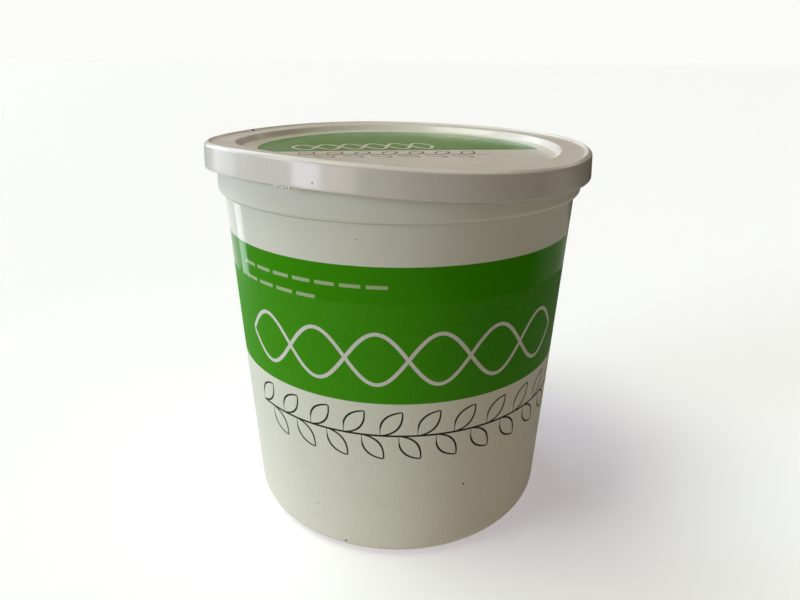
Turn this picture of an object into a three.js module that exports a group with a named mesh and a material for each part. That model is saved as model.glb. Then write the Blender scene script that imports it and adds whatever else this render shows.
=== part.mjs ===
// A shut delicatessen tub: a round moulded container, filled, with its press-on lid seated askew.
// Millimetres, +Z up. The origin is the middle of the foot, on the surface that the tub stands on.

import * as THREE from 'three';

// ---- Driving dimensions -------------------------------------------------------------------

const SIDES = 96; // flats round each turned piece

// The container's wall: a cone that narrows towards the foot
const COLLAR_FOOT_Z = 145.4; // where the wall runs into the collar under the lid
const WALL_TOP_RADIUS = 76.0;
const WALL_TAPER = 0.0555; // loss of radius for each millimetre down
const HEEL_RADIUS = 6.7; // round between wall and foot
const FOOT_RING_WIDTH = 5.0; // the flat ring that it stands on
const BASE_RECESS = 0.9; // how far the base panel is set up inside that ring

// The container's collar and rim
const COLLAR_RADIUS = 78.3;
const COLLAR_ROUND = 2.0; // the collar's lower edge
const LIP_RADIUS = 80.7; // the lip that the lid is pressed over
const LIP_HEIGHT = 4.4;

// The lid's edge, measured up from the lower edge of its skirt
const SKIRT_FOOT_Z = 154.2;
const SKIRT_FOOT_RADIUS = 82.5;
const SKIRT_TOP_RADIUS = 82.1;
const SKIRT_EDGE_ROUND = 0.3;
const LAND_HEIGHT = 9.4; // the flat ring inside the bead
const CREST_RADIUS = 80.4; // the crest of the bead along the edge
const CREST_HEIGHT = 1.0; // above the land
const BEAD_INNER_WIDTH = 1.9; // from the crest in to the land
const SHOULDER_DROP = 1.6; // from the crest down the sloping shoulder to the skirt

// The lid's sunk middle, measured down from the land: a wall, a gentler slope, and the flat panel
const WALL_HEAD_RADIUS = 69.7;
const SLOPE_HEAD_RADIUS = 67.6;
const SLOPE_HEAD_DEPTH = 2.6;
const PANEL_RADIUS = 65.8;
const PANEL_DEPTH = 3.1;

// How the lid sits: a little off centre, and its sheet sprung out of flat. Each rise is at the
// lid's edge, at the crests of a swell that runs round it, with as deep a dip between them.
const LID_SHIFT = -0.4; // along X
const LID_LEAN = 1.75; // one crest
const LEAN_WAY = THREE.MathUtils.degToRad(207);
const LID_SPRING = 1.15; // two crests
const SPRING_WAY = THREE.MathUtils.degToRad(55);
const LID_WAVE = 0.7; // three crests, the first along +X

const LID_SHEET = 1.1; // thickness of the lid's plastic
const LIP_ROUND = 0.6;
const GAP = 0.3; // clearance between the lid and what fills it

// ---- Worked-out places --------------------------------------------------------------------

const LAND_Z = SKIRT_FOOT_Z + LAND_HEIGHT;
const SLOPE_HEAD_Z = LAND_Z - SLOPE_HEAD_DEPTH;
const PANEL_Z = LAND_Z - PANEL_DEPTH;
const CREST_Z = LAND_Z + CREST_HEIGHT;
const RIM_Z = LAND_Z - LID_SHEET - GAP;
const LIP_FOOT_Z = RIM_Z - LIP_HEIGHT;
const WALL_HEAD_UNDER = WALL_HEAD_RADIUS + LID_SHEET / 2; // on the lid's underside
const SLOPE_HEAD_UNDER = SLOPE_HEAD_RADIUS + LID_SHEET / 2;

function wallRadius(z) {
  return WALL_TOP_RADIUS - WALL_TAPER * (COLLAR_FOOT_Z - z);
}

// ---- Helpers ------------------------------------------------------------------------------

const ARC_STEPS = 2; // a path's arc gets twice as many flats
const SAME_POINT = 1e-4;

// Revolves an outline, drawn as radius and height, into a closed body standing on +Z
function turned(outline) {
  const points = [];
  for (const point of outline.getPoints(ARC_STEPS)) {
    const last = points[points.length - 1];
    if (!last || last.distanceTo(point) > SAME_POINT) points.push(point);
  }
  const geometry = new THREE.LatheGeometry(points, SIDES);
  geometry.rotateX(Math.PI / 2);
  return geometry;
}

// How far the lid stands above its level seat, over the point x, y from its middle
function lidLift(x, y) {
  const reach = Math.hypot(x, y) / SKIRT_FOOT_RADIUS;
  const way = Math.atan2(y, x);
  const lean = LID_LEAN * Math.cos(way - LEAN_WAY);
  const spring = LID_SPRING * Math.cos(2 * (way - SPRING_WAY));
  const wave = LID_WAVE * Math.cos(3 * way);
  return reach * lean + reach ** 2 * spring + reach ** 3 * wave;
}

// Lifts every vertex from floorZ up by the lift of a lid whose middle is at middleX
function seatAskew(geometry, floorZ, middleX) {
  const position = geometry.attributes.position;
  for (let i = 0; i < position.count; i += 1) {
    const z = position.getZ(i);
    if (z > floorZ - SAME_POINT) {
      position.setZ(i, z + lidLift(position.getX(i) - middleX, position.getY(i)));
    }
  }
  position.needsUpdate = true;
  geometry.computeVertexNormals();
  return geometry;
}

// Adds the points of a flat disc from a radius to the axis, in rings so that it can spring
function flatToAxis(outline, radius, z, rings) {
  for (let ring = rings; ring >= 0; ring -= 1) {
    outline.lineTo((radius * ring) / rings, z);
  }
}

// ---- The container ------------------------------------------------------------------------

// One solid out to the container's skin, since the shut tub can't be seen into.
// Its top follows the underside of the lid.
function containerGeometry() {
  const lean = Math.atan(WALL_TAPER);
  const heelCentre = wallRadius(HEEL_RADIUS) - HEEL_RADIUS / Math.cos(lean);
  const ringInner = heelCentre - FOOT_RING_WIDTH;
  const collarStep = COLLAR_RADIUS - COLLAR_ROUND;
  const under = LID_SHEET + GAP;
  const play = GAP + Math.abs(LID_SHIFT);

  const outline = new THREE.Path();
  outline.moveTo(0, BASE_RECESS);
  outline.lineTo(ringInner - 2 * BASE_RECESS, BASE_RECESS);
  outline.lineTo(ringInner, 0);
  outline.absarc(heelCentre, HEEL_RADIUS, HEEL_RADIUS, -Math.PI / 2, -lean, false);
  outline.lineTo(wallRadius(COLLAR_FOOT_Z / 2), COLLAR_FOOT_Z / 2);
  outline.lineTo(WALL_TOP_RADIUS, COLLAR_FOOT_Z);
  outline.absarc(collarStep, COLLAR_FOOT_Z + COLLAR_ROUND, COLLAR_ROUND, -Math.PI / 2, 0, false);
  outline.lineTo(COLLAR_RADIUS, LIP_FOOT_Z);
  outline.lineTo(LIP_RADIUS, LIP_FOOT_Z + LIP_ROUND);
  outline.absarc(LIP_RADIUS - LIP_ROUND, RIM_Z - LIP_ROUND, LIP_ROUND, 0, Math.PI / 2, false);
  outline.lineTo(WALL_HEAD_UNDER + play, RIM_Z);
  outline.lineTo(SLOPE_HEAD_UNDER + play, SLOPE_HEAD_Z - under);
  flatToAxis(outline, PANEL_RADIUS + play, PANEL_Z - under, 3);
  return seatAskew(turned(outline), LIP_FOOT_Z, LID_SHIFT);
}

// ---- The lid ------------------------------------------------------------------------------

// A sheet with a skirt, a sloping shoulder up to a bead along its edge, a flat land and a sunk middle
function lidGeometry() {
  const skirtInner = SKIRT_FOOT_RADIUS - LID_SHEET;
  const edgeCentre = SKIRT_FOOT_RADIUS - SKIRT_EDGE_ROUND;
  const edgeCentreZ = SKIRT_FOOT_Z + SKIRT_EDGE_ROUND;

  const outline = new THREE.Path();
  outline.moveTo(0, PANEL_Z - LID_SHEET);
  outline.lineTo(PANEL_RADIUS / 3, PANEL_Z - LID_SHEET);
  outline.lineTo((2 * PANEL_RADIUS) / 3, PANEL_Z - LID_SHEET);
  outline.lineTo(PANEL_RADIUS, PANEL_Z - LID_SHEET);
  outline.lineTo(SLOPE_HEAD_UNDER, SLOPE_HEAD_Z - LID_SHEET);
  outline.lineTo(WALL_HEAD_UNDER, LAND_Z - LID_SHEET);
  outline.lineTo(skirtInner, LAND_Z - LID_SHEET);
  outline.lineTo(skirtInner, SKIRT_FOOT_Z);
  outline.absarc(edgeCentre, edgeCentreZ, SKIRT_EDGE_ROUND, -Math.PI / 2, 0, false);
  outline.lineTo(SKIRT_TOP_RADIUS, CREST_Z - SHOULDER_DROP);
  outline.absellipse(
    CREST_RADIUS, LAND_Z, BEAD_INNER_WIDTH, CREST_HEIGHT, Math.PI / 2, Math.PI, false,
  );
  outline.lineTo(WALL_HEAD_RADIUS, LAND_Z);
  outline.lineTo(SLOPE_HEAD_RADIUS, SLOPE_HEAD_Z);
  flatToAxis(outline, PANEL_RADIUS, PANEL_Z, 3);
  return seatAskew(turned(outline), SKIRT_FOOT_Z, 0);
}

// ---- Assembly -----------------------------------------------------------------------------

const tubPlastic = new THREE.MeshStandardMaterial({ color: 0xe6e5df, roughness: 0.35, metalness: 0 });
const lidPlastic = new THREE.MeshStandardMaterial({ color: 0xeae8e4, roughness: 0.4, metalness: 0 });

const tub = new THREE.Mesh(containerGeometry(), tubPlastic);
tub.name = 'tub';

const lid = new THREE.Mesh(lidGeometry(), lidPlastic);
lid.name = 'lid';
lid.position.x = LID_SHIFT;

const group = new THREE.Group();
group.add(tub, lid);

export default group;
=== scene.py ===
"""A shut delicatessen tub with its press-on lid: the looks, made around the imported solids. Metres, +Z up."""
from math import atan2, cos, hypot, pi, radians, sin, tau

import bmesh
import bpy
from mathutils import Matrix, Vector


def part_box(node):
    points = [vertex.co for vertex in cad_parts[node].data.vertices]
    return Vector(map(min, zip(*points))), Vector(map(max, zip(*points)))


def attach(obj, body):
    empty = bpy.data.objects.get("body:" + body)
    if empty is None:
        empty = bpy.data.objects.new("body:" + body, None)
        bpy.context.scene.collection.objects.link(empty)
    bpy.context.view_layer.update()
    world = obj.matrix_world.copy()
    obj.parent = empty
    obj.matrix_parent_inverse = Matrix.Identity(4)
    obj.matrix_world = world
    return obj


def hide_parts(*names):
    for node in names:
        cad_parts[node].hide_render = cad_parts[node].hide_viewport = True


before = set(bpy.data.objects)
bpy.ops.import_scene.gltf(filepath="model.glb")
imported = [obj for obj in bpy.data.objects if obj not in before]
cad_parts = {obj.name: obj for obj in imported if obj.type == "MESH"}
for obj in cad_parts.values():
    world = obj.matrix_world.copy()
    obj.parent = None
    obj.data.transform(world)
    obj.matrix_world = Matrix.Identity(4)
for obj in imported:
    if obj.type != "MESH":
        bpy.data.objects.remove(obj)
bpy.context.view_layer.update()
MM = 0.001

# ---------------------------------------------------------------------------------------------------
# The container: one thin moulding in white polypropylene, a cone with a round heel and a collar that
# stiffens its rim. The mould leaves the wall glossy, and below the level of the cold contents it is
# misted. A green band and thin line ornaments are printed straight on the wall.

tub_low, tub_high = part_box("tub")
lid_low, lid_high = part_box("lid")

COLLAR_FOOT = 145.4 * MM
WALL_TOP_RADIUS = 76.0 * MM
WALL_TAPER = 0.0555
HEEL_CUT = 6.3 * MM  # how far the heel's round reaches along wall and foot
FOOT_RING = 5.0 * MM
BASE_RECESS = 0.9 * MM
COLLAR_RADIUS = 78.3 * MM
COLLAR_ROUND = 2.0 * MM
LIP_RADIUS = tub_high.x
LIP_HEIGHT = 4.4 * MM
LIP_FLARE = 0.6 * MM  # how far the lip slopes out over the collar
LIP_ROUND = 0.6 * MM
RING_ROUND = 0.8 * MM  # of the foot ring's inner edges

SKIRT_FOOT = 154.2 * MM
SKIRT_RADIUS = (lid_high.x - lid_low.x) / 2
LAND = SKIRT_FOOT + 9.4 * MM
SLOPE_HEAD = LAND - 2.6 * MM
PANEL = LAND - 3.1 * MM
SHEET = 1.1 * MM
WALL_HEAD_RADIUS = 69.7 * MM
SLOPE_HEAD_RADIUS = 67.6 * MM
PANEL_RADIUS = 65.8 * MM

LID_SHIFT = (lid_high.x + lid_low.x) / 2
LID_LEAN = 1.75 * MM
LEAN_WAY = radians(207)
LID_SPRING = 1.15 * MM
SPRING_WAY = radians(55)
LID_WAVE = 0.7 * MM

GAP = 0.3 * MM
PLAY = GAP + abs(LID_SHIFT)
UNDER = SHEET + GAP
RIM = LAND - UNDER

TURN_STEPS = 256
ROUND_STEPS = 8
LONGEST_EDGE = 6 * MM
SUPPORT = 0.8 * MM  # how near a round its flat neighbours are cut, so that its shading stays on it
CREASE = radians(40)


def wall_radius(z):
    return WALL_TOP_RADIUS - WALL_TAPER * (COLLAR_FOOT - z)


def lid_lift(x, y):
    """How far the lid stands above its level seat, over the point x, y from its middle."""
    reach = hypot(x, y) / SKIRT_RADIUS
    way = atan2(y, x)
    lean = LID_LEAN * cos(way - LEAN_WAY)
    spring = LID_SPRING * cos(2 * (way - SPRING_WAY))
    wave = LID_WAVE * cos(3 * way)
    return reach * lean + reach ** 2 * spring + reach ** 3 * wave


def supported(corners):
    """Adds a point near both ends of each long side of a section."""
    points = []
    for near, far in zip(corners, corners[1:]):
        points.append(near)
        start = Vector(near[:2])
        side = Vector(far[:2]) - start
        if side.length > near[2] + far[2] + 3 * SUPPORT:
            for reach in (near[2] + SUPPORT, side.length - far[2] - SUPPORT):
                points.append((*(start + side.normalized() * reach), 0))
    return points + corners[-1:]


def turned(name, corners, middle_x, askew_from):
    """Spins a section into a closed piece. A corner is its radius, its height and the size of its round.
    What stands above askew_from follows the lid's lift."""
    corners = supported(corners)
    bm = bmesh.new()
    section = [bm.verts.new((radius, 0, height)) for radius, height, _ in corners]
    for pair in zip(section, section[1:]):
        bm.edges.new(pair)
    for corner, (_, _, size) in zip(section, corners):
        if size:
            bmesh.ops.bevel(
                bm, geom=[corner], affect="VERTICES", offset=size, segments=ROUND_STEPS, profile=0.5,
                material=-1,
            )
    for edge in bm.edges[:]:
        cuts = int(edge.calc_length() / LONGEST_EDGE)
        if cuts:
            bmesh.ops.subdivide_edges(bm, edges=[edge], cuts=cuts)
    bmesh.ops.spin(
        bm, geom=bm.verts[:] + bm.edges[:], cent=(0, 0, 0), axis=(0, 0, 1), dvec=(0, 0, 0), angle=tau,
        steps=TURN_STEPS, use_merge=True,
    )
    bmesh.ops.remove_doubles(bm, verts=bm.verts, dist=1e-6)
    bmesh.ops.recalc_face_normals(bm, faces=bm.faces)
    for vert in bm.verts:
        vert.co.x += middle_x
        if vert.co.z > askew_from:
            vert.co.z += lid_lift(vert.co.x - LID_SHIFT, vert.co.y)
    for face in bm.faces:
        face.smooth = True
    for edge in bm.edges:
        edge.smooth = edge.calc_face_angle(0) < CREASE
    mesh = bpy.data.meshes.new(name)
    bm.to_mesh(mesh)
    bm.free()
    piece = bpy.data.objects.new(name, mesh)
    bpy.context.collection.objects.link(piece)
    return piece


foot_outer = wall_radius(0)
ring_inner = foot_outer - HEEL_CUT - FOOT_RING
lip_foot = RIM - LIP_HEIGHT
container = turned(
    "container",
    [
        (0, BASE_RECESS, 0),
        (ring_inner - 2 * BASE_RECESS, BASE_RECESS, RING_ROUND),
        (ring_inner, 0, RING_ROUND),
        (foot_outer, 0, HEEL_CUT),
        (WALL_TOP_RADIUS, COLLAR_FOOT, 0),
        (COLLAR_RADIUS, COLLAR_FOOT, COLLAR_ROUND),
        (COLLAR_RADIUS, lip_foot, 0),
        (LIP_RADIUS, lip_foot + LIP_FLARE, 0),
        (LIP_RADIUS, RIM, LIP_ROUND),
        (WALL_HEAD_RADIUS + SHEET / 2 + PLAY, RIM, 0),
        (SLOPE_HEAD_RADIUS + SHEET / 2 + PLAY, SLOPE_HEAD - UNDER, 0),
        (PANEL_RADIUS + PLAY, PANEL - UNDER, 0),
        (0, PANEL - UNDER, 0),
    ],
    middle_x=0,
    askew_from=lip_foot - 0.1 * MM,
)
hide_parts("tub")
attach(container, "root")


def shader_material(name):
    material = bpy.data.materials.new(name)
    material.use_nodes = True
    tree = material.node_tree
    return material, tree, tree.nodes["Principled BSDF"]


def node(tree, kind, *inputs, **settings):
    """Adds a node, and links or sets its inputs in their order. An input of None stays as it is."""
    made = tree.nodes.new(kind)
    for name, value in settings.items():
        setattr(made, name, value)
    for socket, value in zip(made.inputs, inputs):
        if isinstance(value, bpy.types.NodeSocket):
            tree.links.new(value, socket)
        elif value is not None:
            socket.default_value = value
    return made


def calc(tree, operation, *inputs):
    return node(tree, "ShaderNodeMath", *inputs, operation=operation).outputs[0]


def above(tree, value, level, soft):
    """0 below the level and 1 above it, with a soft step."""
    made = node(
        tree, "ShaderNodeMapRange", value, level - soft, level + soft, 0.0, 1.0,
        interpolation_type="SMOOTHSTEP",
    )
    return made.outputs[0]


def between(tree, value, low, high, soft):
    below_high = calc(tree, "SUBTRACT", 1.0, above(tree, value, high, soft))
    return calc(tree, "MULTIPLY", above(tree, value, low, soft), below_high)


def line(tree, distance, width, soft):
    """A drawn line: 1 where the distance to it is under half its width."""
    return calc(tree, "SUBTRACT", 1.0, above(tree, calc(tree, "ABSOLUTE", distance), width / 2, soft))


def either(tree, *masks):
    joined = masks[0]
    for mask in masks[1:]:
        joined = calc(tree, "MAXIMUM", joined, mask)
    return joined


def braid(tree, along, across, start, lobe, lobes, height, width, soft):
    """Two strands that cross each other at the end of each lobe, as in a plait."""
    turn = pi / lobe
    phase = calc(tree, "MULTIPLY", calc(tree, "SUBTRACT", along, start), turn)
    swing = calc(tree, "MULTIPLY", calc(tree, "SINE", phase), height / 2)
    slope = calc(tree, "MULTIPLY", calc(tree, "COSINE", phase), height / 2 * turn)
    steep = calc(tree, "SQRT", calc(tree, "ADD", 1.0, calc(tree, "MULTIPLY", slope, slope)))
    strands = [
        line(tree, calc(tree, "DIVIDE", calc(tree, way, across, swing), steep), width, soft)
        for way in ("ADD", "SUBTRACT")
    ]
    kept = between(tree, along, start, start + lobe * lobes, soft)
    return calc(tree, "MULTIPLY", either(tree, *strands), kept)


LEAF_WIDTH = 0.475  # of a leaf halfway along it, as a share of its length


def sprig(tree, along, across, start, end, pitch, leaf, lean, width, soft):
    """A stem with outlined leaves in turn above and below it."""
    masks = [line(tree, across, width, soft)]
    for side, shift in ((1, 0.0), (-1, 0.5)):
        from_start = calc(tree, "SUBTRACT", along, start + shift * pitch)
        cell = calc(tree, "FLOORED_MODULO", from_start, pitch)
        rise = calc(tree, "MULTIPLY", across, side)
        length = calc(
            tree, "ADD", calc(tree, "MULTIPLY", cell, cos(lean)),
            calc(tree, "MULTIPLY", rise, sin(lean)),
        )
        offset = calc(
            tree, "SUBTRACT", calc(tree, "MULTIPLY", rise, cos(lean)),
            calc(tree, "MULTIPLY", cell, sin(lean)),
        )
        share = calc(tree, "DIVIDE", length, leaf)
        bulge = calc(tree, "MULTIPLY", share, calc(tree, "SUBTRACT", 1.0, share))
        half = calc(tree, "MULTIPLY", bulge, leaf * 2 * LEAF_WIDTH)
        rim = line(tree, calc(tree, "SUBTRACT", calc(tree, "ABSOLUTE", offset), half), width, soft)
        whole_cells = int((end - start) / pitch - shift)
        kept = calc(
            tree, "MULTIPLY", between(tree, length, 0.0, leaf, soft),
            between(tree, from_start, 0.0, whole_cells * pitch, soft),
        )
        masks.append(calc(tree, "MULTIPLY", rim, kept))
    return calc(tree, "MULTIPLY", either(tree, *masks), between(tree, along, start, end, soft))


def dashes(tree, along, across, start, end, middle, height, pitch, share, soft):
    """A row of short bars."""
    cell = calc(tree, "FLOORED_MODULO", calc(tree, "SUBTRACT", along, start), pitch)
    row = between(tree, across, middle - height / 2, middle + height / 2, soft)
    bars = between(tree, cell, 0.0, pitch * share, soft)
    kept = between(tree, along, start, end, soft)
    return calc(tree, "MULTIPLY", calc(tree, "MULTIPLY", row, bars), kept)


def spot(tree, place, middle, radius, soft):
    """1 within a radius of a point, with a soft rim."""
    distance = node(tree, "ShaderNodeVectorMath", place, middle, operation="DISTANCE").outputs["Value"]
    return calc(tree, "SUBTRACT", 1.0, above(tree, distance, radius, soft))


def mottle(tree, place, size, low, high):
    """Cloudy unevenness between two values. The size is about that of one cloud."""
    cloud = node(tree, "ShaderNodeTexNoise", place, None, 1 / size, 2.0, 0.5).outputs[0]
    return node(tree, "ShaderNodeMapRange", cloud, 0.3, 0.7, low, high).outputs[0]


def shade(tree, colour, factor):
    """A colour made lighter or darker by a factor."""
    return node(tree, "ShaderNodeVectorMath", colour, None, None, factor, operation="SCALE").outputs[0]


def paint(tree, under, over, mask):
    """One colour laid over another where the mask is 1."""
    mixed = tree.nodes.new("ShaderNodeMix")
    mixed.data_type = "RGBA"
    for socket, value in ((mixed.inputs[0], mask), (mixed.inputs[6], under), (mixed.inputs[7], over)):
        if isinstance(value, bpy.types.NodeSocket):
            tree.links.new(value, socket)
        else:
            socket.default_value = value
    return mixed.outputs[2]


PRINT_GREEN = (0.046, 0.300, 0.000, 1)
PRINT_WHITE = (0.74, 0.74, 0.70, 1)
PRINT_PALE = (0.42, 0.55, 0.30, 1)
PRINT_BLACK = (0.012, 0.011, 0.009, 1)
TUB_WHITE = (0.78, 0.795, 0.71, 1)
MIST_TINT = (0.25, 0.7, 0.0)
# how far the painted shade in the collar's crease darkens the colour
CREASE_SHADE_STRENGTH = 0.22
GLOSSY_ROUGHNESS = 0.09
MISTED_ROUGHNESS = 0.48
COLLAR_MATT = 0.7  # how far the collar is from glossy towards misted
INK_EDGE = 0.10 * MM

BAND_LOW = 74.8 * MM
BAND_HIGH = 130.0 * MM
MIST_LEVEL = 115.6 * MM
PRINT_RADIUS = 73.5 * MM  # where the ornaments' lengths along the wall are true
PLAIT_LEVEL = 93.5 * MM
SPRIG_LEVEL = 60.5 * MM
BAR_HEIGHT = 1.4 * MM
BAR_SHARE = 0.8  # of each bar's pitch
LEAF_LEAN = radians(50)

tub_plastic, tree, shader = shader_material("tub_plastic")
place = node(tree, "ShaderNodeTexCoord").outputs["Object"]
split = node(tree, "ShaderNodeSeparateXYZ", place)
x, y, z = split.outputs
way_round = calc(tree, "ARCTAN2", x, calc(tree, "MULTIPLY", y, -1.0))
along = calc(tree, "MULTIPLY", way_round, PRINT_RADIUS)

band = between(tree, z, BAND_LOW, BAND_HIGH, INK_EDGE)
plait = braid(
    tree, along, calc(tree, "SUBTRACT", z, PLAIT_LEVEL), start=-68 * MM, lobe=24 * MM, lobes=6,
    height=21 * MM, width=1.5 * MM, soft=INK_EDGE,
)
leaves = sprig(
    tree, along, calc(tree, "SUBTRACT", z, SPRIG_LEVEL), start=-67 * MM, end=98 * MM, pitch=15 * MM,
    leaf=14 * MM, lean=LEAF_LEAN, width=0.85 * MM, soft=INK_EDGE,
)
upper_rule = dashes(
    tree, along, z, start=-68.8 * MM, end=-1.7 * MM, middle=122.3 * MM, height=BAR_HEIGHT,
    pitch=9.6 * MM, share=BAR_SHARE, soft=INK_EDGE,
)
lower_rule = dashes(
    tree, along, z, start=-68.6 * MM, end=-28.8 * MM, middle=116.4 * MM, height=BAR_HEIGHT,
    pitch=10.0 * MM, share=BAR_SHARE, soft=INK_EDGE,
)
colour = paint(tree, TUB_WHITE, PRINT_GREEN, band)
colour = paint(tree, colour, PRINT_WHITE, plait)
colour = paint(tree, colour, PRINT_PALE, either(tree, upper_rule, lower_rule))
colour = paint(tree, colour, PRINT_BLACK, leaves)

# Below the level of the cold contents the wall is misted: finely grained and no longer glossy.
wavering = mottle(tree, place, 6 * MM, -0.3 * MM, 0.3 * MM)
misted = calc(tree, "SUBTRACT", 1.0, above(tree, calc(tree, "ADD", z, wavering), MIST_LEVEL, 0.2 * MM))
grain = mottle(tree, place, 0.8 * MM, -0.04, 0.04)
colour = shade(tree, colour, calc(tree, "ADD", 1.0, calc(tree, "MULTIPLY", grain, misted)))
droplets = calc(tree, "MULTIPLY", mottle(tree, place, 0.9 * MM, 0.0, 0.05), misted)
mist = shade(tree, MIST_TINT, droplets)
colour = node(tree, "ShaderNodeVectorMath", colour, mist, operation="ADD").outputs[0]
colour = shade(tree, colour, mottle(tree, place, 22 * MM, 0.985, 1.015))

# Where the wall runs into the collar, a thin line of painted shade: the shadow that falls into the crease is
# painted into the colour.
crease_shade = line(tree, calc(tree, "SUBTRACT", z, COLLAR_FOOT + 0.3 * MM), 0.5 * MM, 0.25 * MM)
colour = shade(tree, colour, calc(tree, "SUBTRACT", 1.0, calc(tree, "MULTIPLY", crease_shade, CREASE_SHADE_STRENGTH)))

# Specks of dirt: on the glossy wall, by the heel and on the lower wall. The first value is the place in
# millimetres, the second the radius.
SPECKS = [
    ((-14.3, -74.3, 139.7), 0.22),
    ((-21.2, -64.7, 5.0), 0.55),
    ((27.0, -64.4, 33.8), 0.5),
    ((-33.0, -60.5, 20.5), 0.3),
    ((52.0, -47.0, 47.0), 0.4),
]
SPECK_BROWN = (0.16, 0.12, 0.08, 1)
for middle, radius in SPECKS:
    middle = tuple(value * MM for value in middle)
    colour = paint(tree, colour, SPECK_BROWN, spot(tree, place, middle, radius * MM, 0.25 * MM))
tree.links.new(colour, shader.inputs["Base Color"])

collar = above(tree, z, COLLAR_FOOT + 0.4 * MM, 0.2 * MM)
matt = either(tree, misted, calc(tree, "MULTIPLY", collar, COLLAR_MATT))
roughness = node(tree, "ShaderNodeMapRange", matt, 0.0, 1.0, GLOSSY_ROUGHNESS, MISTED_ROUGHNESS).outputs[0]
tree.links.new(roughness, shader.inputs["Roughness"])
shader.inputs["IOR"].default_value = 1.49
shader.inputs["Specular IOR Level"].default_value = 0.12
bump = node(tree, "ShaderNodeBump", calc(tree, "MULTIPLY", misted, 0.5), 0.4 * MM, None, grain)
tree.links.new(bump.outputs[0], shader.inputs["Normal"])
container.data.materials.append(tub_plastic)

# ---------------------------------------------------------------------------------------------------
# The lid: a softer, satin moulding pressed over the container's lip. Its skirt hides the lip, a round
# bead runs along its edge, and its middle panel is sunk and printed. It sits askew, as it was left.

CREST = LAND + 1.0 * MM  # of the bead along the edge
CREST_RADIUS = 80.4 * MM
BEAD_INNER_WIDTH = 1.3 * MM  # from the crest in to the land
SHOULDER_DROP = 1.15 * MM  # from the crest down the sloping shoulder to the skirt

BEAD_ROUND = 0.45 * MM
RECESS_ROUND = 0.4 * MM
PANEL_ROUND = 0.5 * MM
SKIRT_DRAFT = 0.4 * MM  # how much the skirt's radius shrinks from foot to top
SKIRT_OUTER_ROUND = 0.3 * MM
SKIRT_INNER_ROUND = 0.2 * MM

skirt_top = SKIRT_RADIUS - SKIRT_DRAFT
skirt_inner = SKIRT_RADIUS - SHEET
lid = turned(
    "lid_moulding",
    [
        (0, PANEL - SHEET, 0),
        (PANEL_RADIUS, PANEL - SHEET, 0),
        (SLOPE_HEAD_RADIUS + SHEET / 2, SLOPE_HEAD - SHEET, 0),
        (WALL_HEAD_RADIUS + SHEET / 2, LAND - SHEET, 0),
        (skirt_inner, LAND - SHEET, 0),
        (skirt_inner, SKIRT_FOOT, SKIRT_INNER_ROUND),
        (SKIRT_RADIUS, SKIRT_FOOT, SKIRT_OUTER_ROUND),
        (skirt_top, CREST - SHOULDER_DROP, BEAD_ROUND),
        (CREST_RADIUS, CREST, BEAD_ROUND),
        (CREST_RADIUS - BEAD_INNER_WIDTH, LAND, BEAD_ROUND),
        (WALL_HEAD_RADIUS, LAND, RECESS_ROUND),
        (SLOPE_HEAD_RADIUS, SLOPE_HEAD, RECESS_ROUND),
        (PANEL_RADIUS, PANEL, PANEL_ROUND),
        (0, PANEL, 0),
    ],
    middle_x=LID_SHIFT,
    askew_from=0,
)
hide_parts("lid")
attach(lid, "root")

LID_WHITE = (0.76, 0.745, 0.72, 1)
LABEL_WHITE = (0.74, 0.73, 0.69, 1)
LID_GREEN = (0.025, 0.250, 0.000, 1)
LABEL_RADIUS = 62.2 * MM
LABEL_MIDDLE = (0.5 * MM, 1.7 * MM, 0)
LABEL_TURN = radians(15.7)
CHORD = -8.9 * MM
CHORD_BOW = 0.8  # the sheet's spring bows the printed chord: how much, in metres for each square metre
LABEL_PLAIT = 5.5 * MM  # where each ornament runs, across the label
LABEL_SPRIG = -20.7 * MM
RIPPLES = 260.0  # in a metre

lid_plastic, tree, shader = shader_material("lid_plastic")
place = node(tree, "ShaderNodeTexCoord").outputs["Object"]
from_label = node(tree, "ShaderNodeMapping", place, LABEL_MIDDLE, vector_type="TEXTURE").outputs[0]
from_middle = node(tree, "ShaderNodeVectorMath", from_label, (1, 1, 0), operation="MULTIPLY").outputs[0]
radius = node(tree, "ShaderNodeVectorMath", from_middle, operation="LENGTH").outputs["Value"]
turned_place = node(tree, "ShaderNodeMapping", place, None, (0, 0, -LABEL_TURN)).outputs[0]
along, across, _ = node(tree, "ShaderNodeSeparateXYZ", turned_place).outputs
bow = calc(tree, "MULTIPLY", calc(tree, "MULTIPLY", along, along), CHORD_BOW)
across = calc(tree, "ADD", across, bow)
label = calc(tree, "SUBTRACT", 1.0, above(tree, radius, LABEL_RADIUS, INK_EDGE))
green_part = calc(tree, "MULTIPLY", label, above(tree, across, CHORD, INK_EDGE))
plait = braid(
    tree, along, calc(tree, "SUBTRACT", across, LABEL_PLAIT), start=-47 * MM, lobe=10.7 * MM, lobes=6,
    height=18 * MM, width=1.5 * MM, soft=INK_EDGE,
)
leaves = sprig(
    tree, along, calc(tree, "SUBTRACT", across, LABEL_SPRIG), start=-47 * MM, end=34 * MM, pitch=11.5 * MM,
    leaf=11 * MM, lean=LEAF_LEAN, width=0.95 * MM, soft=INK_EDGE,
)
colour = paint(tree, LID_WHITE, LABEL_WHITE, label)
colour = paint(tree, colour, LID_GREEN, green_part)
colour = paint(tree, colour, PRINT_WHITE, calc(tree, "MULTIPLY", plait, label))
colour = paint(tree, colour, PRINT_BLACK, calc(tree, "MULTIPLY", leaves, label))
colour = shade(tree, colour, mottle(tree, place, 14 * MM, 0.98, 1.02))
colour = shade(tree, colour, mottle(tree, place, 1.2 * MM, 0.985, 1.015))

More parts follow.
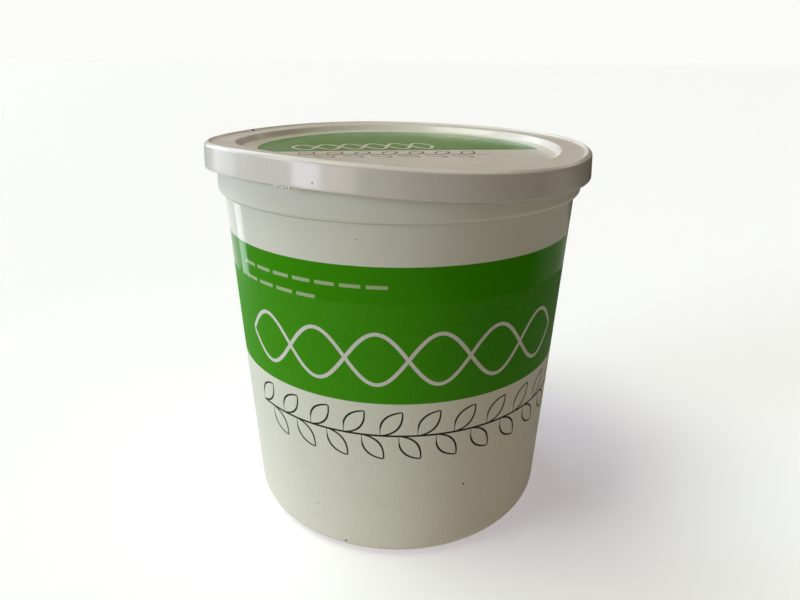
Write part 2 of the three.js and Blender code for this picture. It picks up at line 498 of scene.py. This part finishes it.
# Brown dirt: a crumb and its trail caught inside the bead, and specks on the shoulder. The first value is
# the place in millimetres, the second the radius.
DIRT = [
    ((-72.1, 33.9, 163.9), 0.9),
    ((-72.2, 30.8, 163.5), 0.35),
    ((-73.0, 28.0, 163.5), 0.3),
    ((-59.6, -57.3, 166.3), 0.3),
    ((-72.9, -35.4, 166.7), 0.4),
]
DIRT_BROWN = (0.13, 0.06, 0.03, 1)
for middle, radius in DIRT:
    middle = tuple(value * MM for value in middle)
    colour = paint(tree, colour, DIRT_BROWN, spot(tree, place, middle, radius * MM, 0.3 * MM))
tree.links.new(colour, shader.inputs["Base Color"])

printed_dull = calc(tree, "MULTIPLY", label, 0.03)
roughness = calc(tree, "ADD", mottle(tree, place, 8 * MM, 0.15, 0.21), printed_dull)
tree.links.new(roughness, shader.inputs["Roughness"])
shader.inputs["IOR"].default_value = 1.5
ripple = node(tree, "ShaderNodeTexNoise", place, None, RIPPLES, 2.0, 0.5).outputs[0]
bump = node(tree, "ShaderNodeBump", 0.12, 0.1 * MM, None, ripple)
tree.links.new(bump.outputs[0], shader.inputs["Normal"])
lid.data.materials.append(lid_plastic)

# ---------------------------------------------------------------------------------------------------
# Water from the pack's brine: a few tiny drops that hang along the skirt's lower edge at the front left,
# where the lid rides up. They cling to the lid's plastic.

DROP_SUNK = 0.1 * MM  # how deep a drop's middle is in the skirt

# Each drop has its bearing round the lid in degrees, and in millimetres its height above the skirt's edge
# and its radius.
DROPS = [
    (239.9, -0.2, 0.35),
    (240.8, -0.3, 0.5),
    (241.7, 0.2, 0.3),
    (242.5, -0.4, 0.45),
    (243.4, -0.5, 0.35),
    (244.3, -0.3, 0.5),
    (245.2, -0.6, 0.35),
    (246.1, -0.4, 0.4),
    (247.3, -0.5, 0.35),
    (250.3, 2.5, 0.35),
]
bm = bmesh.new()
for bearing, rise, size in DROPS:
    bearing = radians(bearing)
    from_axis = Vector((cos(bearing), sin(bearing), 0)) * (SKIRT_RADIUS - DROP_SUNK)
    seat = SKIRT_FOOT + lid_lift(from_axis.x, from_axis.y) + rise * MM
    bmesh.ops.create_icosphere(
        bm, subdivisions=2, radius=size * MM,
        matrix=Matrix.Translation(from_axis + Vector((LID_SHIFT, 0, seat))),
    )
for face in bm.faces:
    face.smooth = True
mesh = bpy.data.meshes.new("water_drops")
bm.to_mesh(mesh)
bm.free()
drops = bpy.data.objects.new("water_drops", mesh)
bpy.context.collection.objects.link(drops)
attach(drops, "root")

painted_glint_water, tree, shader = shader_material("painted_glint_water")
place = node(tree, "ShaderNodeTexCoord").outputs["Object"]
# The drops' near-white colour is a painted highlight. It stands in for the glints of clear water.
shader.inputs["Base Color"].default_value = (0.97, 0.98, 0.98, 1)
tree.links.new(mottle(tree, place, 0.6 * MM, 0.01, 0.08), shader.inputs["Roughness"])
shader.inputs["IOR"].default_value = 1.33
shader.inputs["Transmission Weight"].default_value = 0.1
drops.data.materials.append(painted_glint_water)

# ---------------------------------------------------------------------------------------------------
# The stage: a pale floor, the soft light of a row of windows on the left and at the back, small panels
# that the gloss mirrors, and the camera.

FLOOR_SIZE = 60.0
bpy.ops.mesh.primitive_plane_add(size=FLOOR_SIZE, location=(0, 0, tub_low.z))
floor = bpy.context.object
floor.name = "floor"
floor_paint, tree, shader = shader_material("floor_paint")
shader.inputs["Base Color"].default_value = (0.90, 0.92, 0.96, 1)
shader.inputs["Roughness"].default_value = 0.9
shader.inputs["Specular IOR Level"].default_value = 0.1
shader.inputs["Emission Color"].default_value = (0.88, 0.88, 0.97, 1)
shader.inputs["Emission Strength"].default_value = 0.325

# What the tub feels of the floor is darker than what is seen of it, with a warm glow close round its foot.
# Its gloss mirrors no floor on the right, the room's dark side, but for a stretch further back.
FELT_GREY = (0.38, 0.38, 0.36, 1)
FELT_GLOW = (0.26, 0.215, 0.19, 1)
GLOW_MIDDLE = (0.04, -0.04, 0)
GLOW_FULL = 0.10  # the glow is full out to this reach
GLOW_END = 0.30  # and gone from this one
floor_place = node(tree, "ShaderNodeTexCoord").outputs["Object"]
from_glow = node(tree, "ShaderNodeVectorMath", floor_place, GLOW_MIDDLE, operation="DISTANCE")
near_foot = node(tree, "ShaderNodeMapRange", from_glow.outputs["Value"], GLOW_FULL, GLOW_END, 1.0, 0.0)
felt_grey = node(tree, "ShaderNodeBsdfDiffuse", FELT_GREY)
glow = node(tree, "ShaderNodeEmission", FELT_GLOW, near_foot.outputs[0])
felt_floor = node(tree, "ShaderNodeAddShader", felt_grey.outputs[0], glow.outputs[0])
rays = node(tree, "ShaderNodeLightPath").outputs
floor_x, floor_y, _ = node(tree, "ShaderNodeSeparateXYZ", floor_place).outputs
on_right = above(tree, floor_x, level=0.12, soft=0.10)
stretch = between(tree, floor_y, low=0.02, high=0.42, soft=0.07)
dark = calc(tree, "MULTIPLY", on_right, calc(tree, "SUBTRACT", 1.0, stretch))
dark_side = calc(tree, "MULTIPLY", dark, rays["Is Glossy Ray"])
mirrored = node(tree, "ShaderNodeMixShader", dark_side, felt_floor.outputs[0])
both = node(tree, "ShaderNodeMixShader", rays["Is Camera Ray"], mirrored.outputs[0], shader.outputs[0])
tree.links.new(both.outputs[0], tree.nodes["Material Output"].inputs[0])
floor.data.materials.append(floor_paint)


def sky_light(name, bearing, height, wide, strength, colour):
    """A broad soft light from far off. Bearing 0 is +X and 90 degrees is +Y; height is above the horizon."""
    data = bpy.data.lights.new(name, "SUN")
    data.angle = radians(wide)
    data.energy = strength
    data.color = colour
    lamp = bpy.data.objects.new(name, data)
    bpy.context.collection.objects.link(lamp)
    flat = cos(radians(height))
    way = Vector((flat * cos(radians(bearing)), flat * sin(radians(bearing)), sin(radians(height))))
    lamp.rotation_euler = way.to_track_quat("Z", "Y").to_euler()
    return lamp


def panel_light(name, bearing, height, reach, width, tall, glow, colour):
    """A small upright glowing panel near the tub, seen only in its gloss."""
    data = bpy.data.lights.new(name, "AREA")
    data.shape = "RECTANGLE"
    data.size = width
    data.size_y = tall
    data.energy = pi * width * tall * glow
    data.color = colour
    lamp = bpy.data.objects.new(name, data)
    bpy.context.collection.objects.link(lamp)
    lamp.location = (reach * cos(radians(bearing)), reach * sin(radians(bearing)), height)
    aim = Vector((-lamp.location.x, -lamp.location.y, 0))
    lamp.rotation_euler = aim.to_track_quat("-Z", "Y").to_euler()
    lamp.visible_diffuse = False
    lamp.visible_camera = False
    return lamp


sky_light("window_far", bearing=135, height=12, wide=28, strength=0.60, colour=(0.76, 1.01, 0.95))
sky_light("window_back", bearing=158, height=12, wide=28, strength=0.40, colour=(0.98, 0.80, 1.60))
sky_light("window_left", bearing=202, height=12, wide=28, strength=1.35, colour=(0.89, 1.02, 1.11))
sky_light("gleam", bearing=112, height=12, wide=28, strength=0.02, colour=(0.95, 1.0, 1.2))
sky_light("sky_back", bearing=120, height=38, wide=28, strength=0.38, colour=(0.84, 1.0, 1.17))
sky_light("skylight", bearing=180, height=65, wide=34, strength=1.10, colour=(0.99, 1.08, 0.78))
panel_light(
    "streak", bearing=156.0, height=0.0425, reach=0.33,
    width=0.060, tall=0.085, glow=2.85, colour=(0.86, 1.0, 0.99),
)
panel_light(
    "left_veil", bearing=127.5, height=0.0425, reach=0.33,
    width=0.26, tall=0.085, glow=0.7, colour=(0.95, 1.0, 1.0),
)
panel_light(
    "skirt_sheen", bearing=159, height=0.09, reach=0.8,
    width=0.36, tall=0.10, glow=1.3, colour=(0.95, 1.0, 1.0),
)
panel_light(
    "patch", bearing=222.5, height=0.095, reach=0.8,
    width=0.23, tall=0.12, glow=7.0, colour=(1.0, 0.97, 1.12),
)
panel_light(
    "faint_patch", bearing=241, height=0.095, reach=0.8,
    width=0.22, tall=0.12, glow=2.6, colour=(1.10, 0.96, 0.94),
)
panel_light(
    "shoulder_gleam", bearing=50, height=0.56, reach=0.8,
    width=0.5, tall=0.22, glow=0.9, colour=(1.0, 0.97, 0.92),
)
panel_light(
    "rim_gleam", bearing=90, height=0.42, reach=0.8,
    width=0.25, tall=0.14, glow=0.4, colour=(0.95, 1.0, 1.05),
)
ceiling = panel_light(
    "ceiling", bearing=270, height=1.0, reach=0.1,
    width=1.2, tall=1.2, glow=1.0, colour=(1.0, 0.97, 0.95),
)
ceiling.rotation_euler = (0, 0, 0)  # facing straight down

SEEN_BACKGROUND = (0.97, 0.97, 0.965, 1)
FELT_BACKGROUND = (0.28, 0.20, 0.153, 1)
world = bpy.data.worlds.new("room")
world.use_nodes = True
bpy.context.scene.world = world
tree = world.node_tree

# The room is darker on the right. Seen straight on, the background is one pale tone.
direction = node(tree, "ShaderNodeTexCoord").outputs["Generated"]
to_right = node(tree, "ShaderNodeSeparateXYZ", direction).outputs[0]
felt = tree.nodes["Background"]
felt.inputs["Color"].default_value = FELT_BACKGROUND
dark_end = above(tree, to_right, level=0.5, soft=0.12)
tree.links.new(calc(tree, "SUBTRACT", 1.0, dark_end), felt.inputs["Strength"])
seen = node(tree, "ShaderNodeBackground", SEEN_BACKGROUND)
by_ray = node(tree, "ShaderNodeLightPath").outputs["Is Camera Ray"]
both = node(tree, "ShaderNodeMixShader", by_ray)
tree.links.new(felt.outputs[0], both.inputs[1])
tree.links.new(seen.outputs[0], both.inputs[2])
tree.links.new(both.outputs[0], tree.nodes["World Output"].inputs[0])

CAMERA_REACH = 289.03 * MM
CAMERA_DOWN = 0.3163  # radians
CAMERA_ROLL = 0.0078
CAMERA_AIM = Vector((0.52 * MM, 0, 108.2 * MM))
CAMERA_SHIFT = -0.05  # of the picture's middle, as a share of its width
PICTURE_PIXELS = 800  # the picture's width
FOCAL_PIXELS = 617.0
camera_data = bpy.data.cameras.new("camera")
camera_data.sensor_width = 36.0
camera_data.lens = FOCAL_PIXELS / PICTURE_PIXELS * camera_data.sensor_width
camera_data.shift_y = CAMERA_SHIFT
camera = bpy.data.objects.new("camera", camera_data)
bpy.context.collection.objects.link(camera)
camera.location = CAMERA_AIM + Vector((0, -cos(CAMERA_DOWN), sin(CAMERA_DOWN))) * CAMERA_REACH
camera.rotation_euler = (
    Matrix.Rotation(pi / 2 - CAMERA_DOWN, 3, "X") @ Matrix.Rotation(CAMERA_ROLL, 3, "Z")
).to_euler()
bpy.context.scene.camera = camera
bpy.context.scene.view_settings.view_transform = "Standard"
